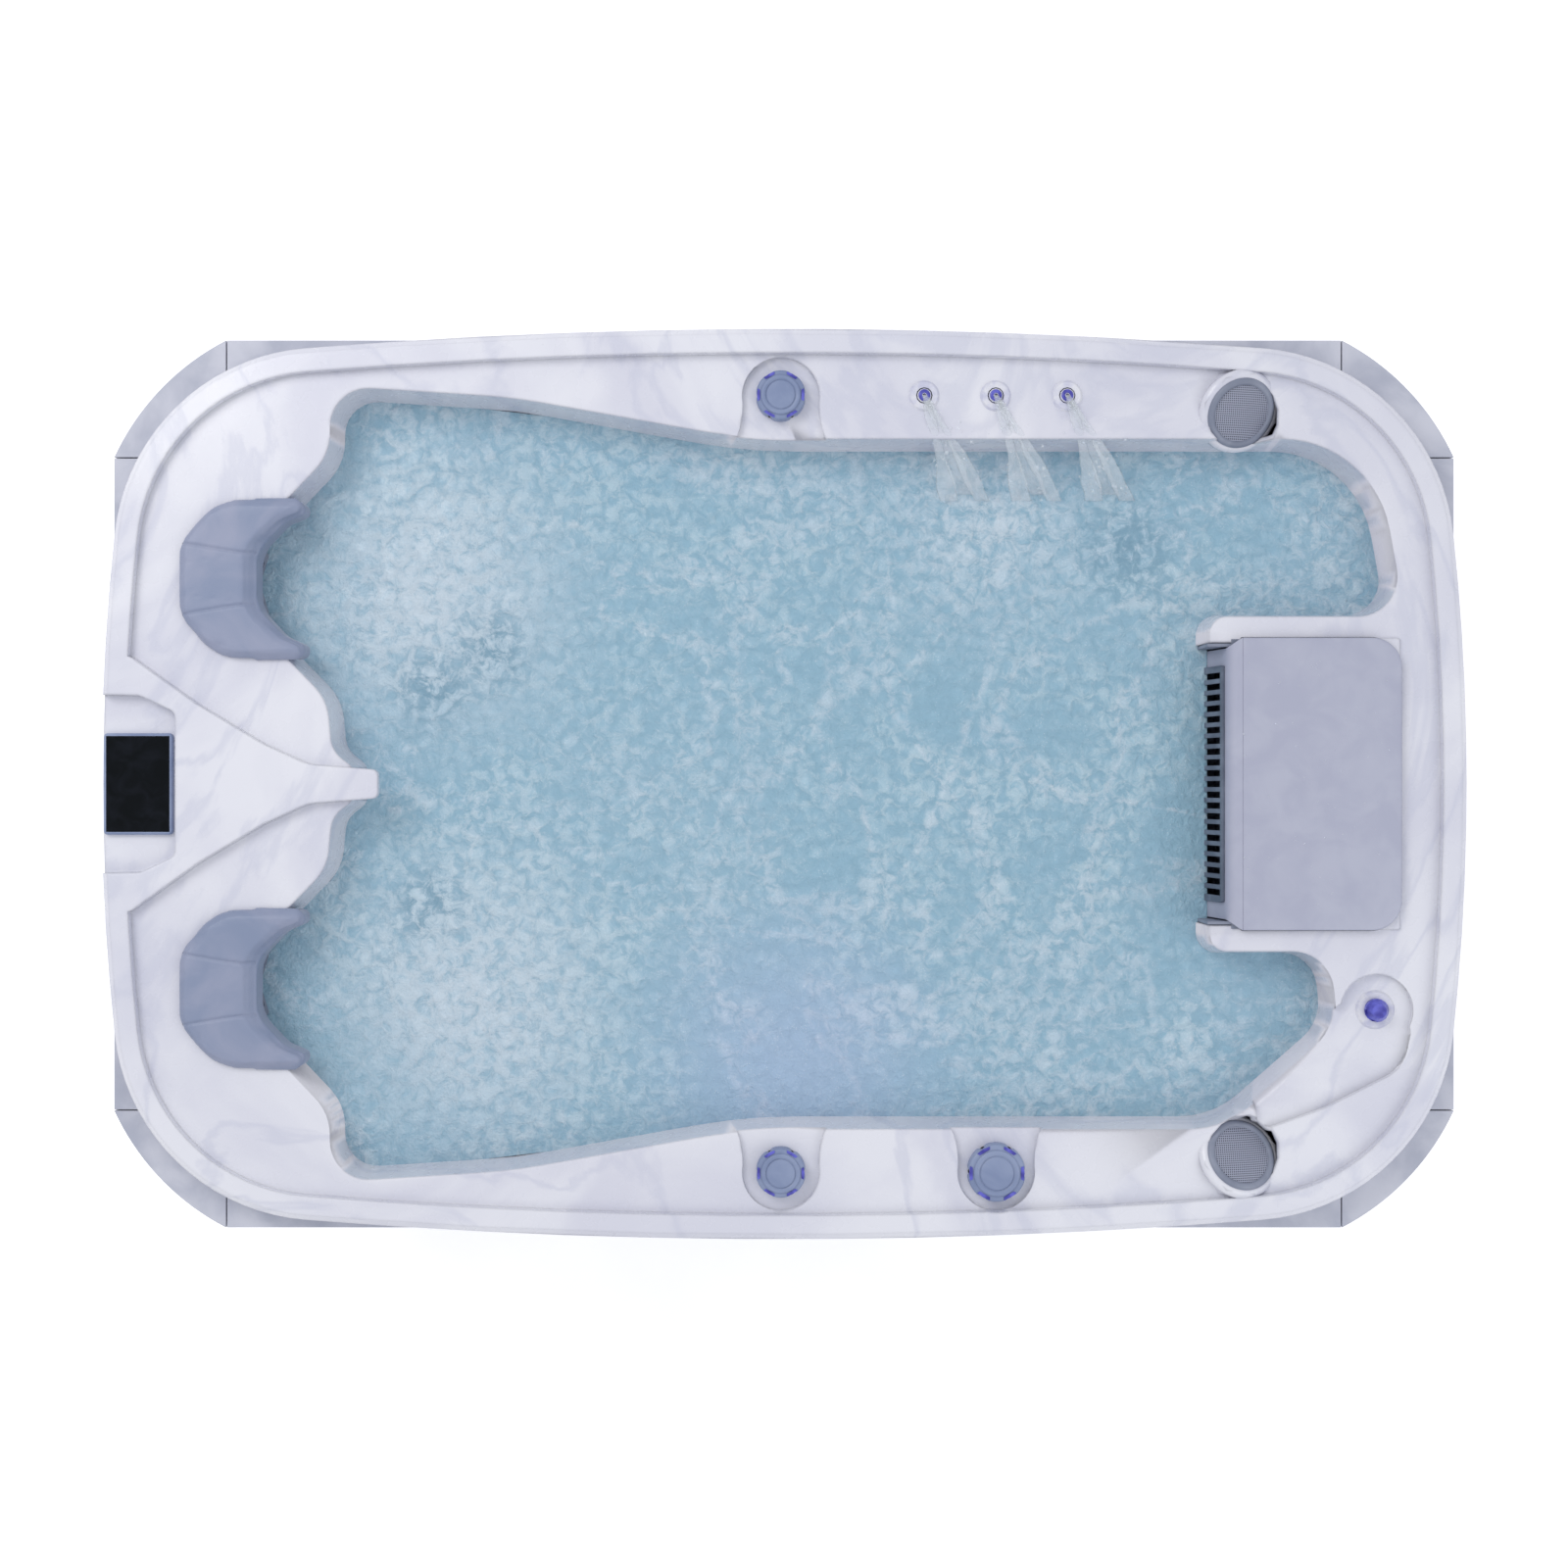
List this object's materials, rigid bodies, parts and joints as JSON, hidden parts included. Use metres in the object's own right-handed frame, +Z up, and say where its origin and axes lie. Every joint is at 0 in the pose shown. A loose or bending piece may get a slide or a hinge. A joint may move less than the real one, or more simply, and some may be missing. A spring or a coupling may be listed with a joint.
{
  "type": "hot tub",
  "caption": "Rectangular moulded hot tub with two bucket seats, a footwell, a corner seat, deck controls and a skimmer under a sloping lid.",
  "frame": {"origin": "on the floor under the middle of the tub", "axes": "+X along the length, from the two bucket seats towards the filter, +Z up"},
  "size_m": [2.1, 1.3996, 0.8288],
  "materials": {
    "cabinet": "matt board",
    "dark_plastic": "satin",
    "satin_silver": "satin metallic",
    "base_plastic": "matt",
    "clear_lit": "clear",
    "white_plastic": "satin",
    "pleat_fabric": "pleated",
    "grey_plastic": "satin",
    "lid_grey": "satin",
    "frame_steel": "satin",
    "steel": "brushed",
    "foam": "soft",
    "motor_paint": "satin",
    "acrylic": "gloss pearl acrylic",
    "glass_black": "gloss"
  },
  "bodies": {
    "tub": {"access_panel": "cabinet", "air_blower": "dark_plastic", "base_pan": "base_plastic", "cable_gland": "dark_plastic", "control_box": "dark_plastic", "corner_front_left": "cabinet", "corner_front_right": "cabinet", "corner_rear_left": "cabinet", "corner_rear_right": "cabinet", "deck_fittings": "clear_lit", "deck_valves": "dark_plastic", "discharge_pipe": "white_plastic", "drain_outlet": "white_plastic", "filter_cartridge_front": "pleat_fabric", "filter_cartridge_rear": "pleat_fabric", "filter_housing": "grey_plastic", "floor_blocks": "base_plastic", "footwell_light": "clear_lit", "frame_posts": "frame_steel", "frame_rails": "frame_steel", "front_panel": "cabinet", "heater": "steel", "jet_bodies": "grey_plastic", "panel_screws": "steel", "pillow_front": "foam", "pillow_rear": "foam", "pump_motor": "motor_paint", "pump_wet_end": "dark_plastic", "rear_panel": "cabinet", "return_manifold": "white_plastic", "return_pipe": "white_plastic", "right_panel": "cabinet", "shell": "acrylic", "speaker_drivers": "dark_plastic", "speaker_grilles": "grey_plastic", "suction_covers": "grey_plastic", "suction_manifold": "white_plastic", "touch_bezel": "satin_silver", "touch_glass": "glass_black"},
    "filter_lid": {"filter_lid": "lid_grey", "skimmer_grille": "grey_plastic"},
    "weir_door": {"weir_door": "grey_plastic"},
    "diverter_knob": {"diverter_knob": "satin_silver"},
    "air_knob_rear": {"air_knob_rear": "satin_silver"},
    "air_knob_front": {"air_knob_front": "satin_silver"},
    "fountain_nozzle_1": {"fountain_nozzle_1": "clear_lit"},
    "fountain_nozzle_2": {"fountain_nozzle_2": "clear_lit"},
    "fountain_nozzle_3": {"fountain_nozzle_3": "clear_lit"},
    "spout_nozzle": {"spout_nozzle": "clear_lit"},
    "jet_face_rear_upper_left": {"jet_face_rear_upper_left": "steel"},
    "jet_face_rear_upper_right": {"jet_face_rear_upper_right": "steel"},
    "jet_face_rear_lower_left": {"jet_face_rear_lower_left": "steel"},
    "jet_face_rear_lower_right": {"jet_face_rear_lower_right": "steel"},
    "jet_face_front_upper_left": {"jet_face_front_upper_left": "steel"},
    "jet_face_front_upper_right": {"jet_face_front_upper_right": "steel"},
    "jet_face_front_lower_left": {"jet_face_front_lower_left": "steel"},
    "jet_face_front_lower_right": {"jet_face_front_lower_right": "steel"},
    "jet_face_corner_upper": {"jet_face_corner_upper": "steel"},
    "jet_face_corner_lower": {"jet_face_corner_lower": "steel"}
  },
  "joints": [
    {"name": "filter_lid_lift", "type": "slide", "parent": "tub", "child": "filter_lid", "axis": [0, 0, 1], "range_m": [0, 0.25]},
    {"name": "weir_swing", "type": "hinge", "parent": "tub", "child": "weir_door", "pos_m": [0.699, 0, 0.66], "axis": [0, 1, 0], "range_deg": [0, 75], "stiffness_Nm_per_rad": 0.6, "springref_deg": -17.19},
    {"name": "diverter_turn", "type": "hinge", "parent": "tub", "child": "diverter_knob", "pos_m": [0.327, -0.598, 0.795], "axis": [0, 0, 1], "range_deg": [-90, 90]},
    {"name": "air_knob_rear_turn", "type": "hinge", "parent": "tub", "child": "air_knob_rear", "pos_m": [-0.005, 0.598, 0.795], "axis": [0, 0, 1], "range_deg": [0, 180]},
    {"name": "air_knob_front_turn", "type": "hinge", "parent": "tub", "child": "air_knob_front", "pos_m": [-0.005, -0.598, 0.795], "axis": [0, 0, 1], "range_deg": [0, 180]},
    {"name": "fountain_1_tilt", "type": "hinge", "parent": "tub", "child": "fountain_nozzle_1", "pos_m": [0.216, 0.598, 0.803], "axis": [1, 0, 0], "range_deg": [-15, 15]},
    {"name": "fountain_2_tilt", "type": "hinge", "parent": "tub", "child": "fountain_nozzle_2", "pos_m": [0.326, 0.598, 0.803], "axis": [1, 0, 0], "range_deg": [-15, 15]},
    {"name": "fountain_3_tilt", "type": "hinge", "parent": "tub", "child": "fountain_nozzle_3", "pos_m": [0.436, 0.598, 0.803], "axis": [1, 0, 0], "range_deg": [-15, 15]},
    {"name": "spout_swivel", "type": "hinge", "parent": "tub", "child": "spout_nozzle", "pos_m": [0.914, -0.349, 0.793], "axis": [0, 0, 1], "range_deg": [-60, 60]},
    {"name": "jet_rear_upper_left_turn", "type": "hinge", "parent": "tub", "child": "jet_face_rear_upper_left", "pos_m": [-0.80228, 0.27359, 0.64573], "axis": [0.8861, 0.4515, 0.1045], "range_deg": [0, 90]},
    {"name": "jet_rear_upper_right_turn", "type": "hinge", "parent": "tub", "child": "jet_face_rear_upper_right", "pos_m": [-0.80228, 0.35641, 0.64573], "axis": [0.8861, -0.4515, 0.1045], "range_deg": [0, 90]},
    {"name": "jet_rear_lower_left_turn", "type": "hinge", "parent": "tub", "child": "jet_face_rear_lower_left", "pos_m": [-0.79181, 0.27412, 0.55573], "axis": [0.8613, 0.4973, 0.1045], "range_deg": [0, 90]},
    {"name": "jet_rear_lower_right_turn", "type": "hinge", "parent": "tub", "child": "jet_face_rear_lower_right", "pos_m": [-0.79181, 0.35588, 0.55573], "axis": [0.8613, -0.4973, 0.1045], "range_deg": [0, 90]},
    {"name": "jet_front_upper_left_turn", "type": "hinge", "parent": "tub", "child": "jet_face_front_upper_left", "pos_m": [-0.80228, -0.35641, 0.64573], "axis": [0.8861, 0.4515, 0.1045], "range_deg": [0, 90]},
    {"name": "jet_front_upper_right_turn", "type": "hinge", "parent": "tub", "child": "jet_face_front_upper_right", "pos_m": [-0.80228, -0.27359, 0.64573], "axis": [0.8861, -0.4515, 0.1045], "range_deg": [0, 90]},
    {"name": "jet_front_lower_left_turn", "type": "hinge", "parent": "tub", "child": "jet_face_front_lower_left", "pos_m": [-0.79181, -0.35588, 0.55573], "axis": [0.8613, 0.4973, 0.1045], "range_deg": [0, 90]},
    {"name": "jet_front_lower_right_turn", "type": "hinge", "parent": "tub", "child": "jet_face_front_lower_right", "pos_m": [-0.79181, -0.27412, 0.55573], "axis": [0.8613, -0.4973, 0.1045], "range_deg": [0, 90]},
    {"name": "jet_corner_upper_turn", "type": "hinge", "parent": "tub", "child": "jet_face_corner_upper", "pos_m": [0.91933, 0.3404, 0.65073], "axis": [-0.9784, -0.1785, 0.1045], "range_deg": [0, 90]},
    {"name": "jet_corner_lower_turn", "type": "hinge", "parent": "tub", "child": "jet_face_corner_lower", "pos_m": [0.91054, 0.33879, 0.56573], "axis": [-0.9784, -0.1785, 0.1045], "range_deg": [0, 90]}
  ]
}
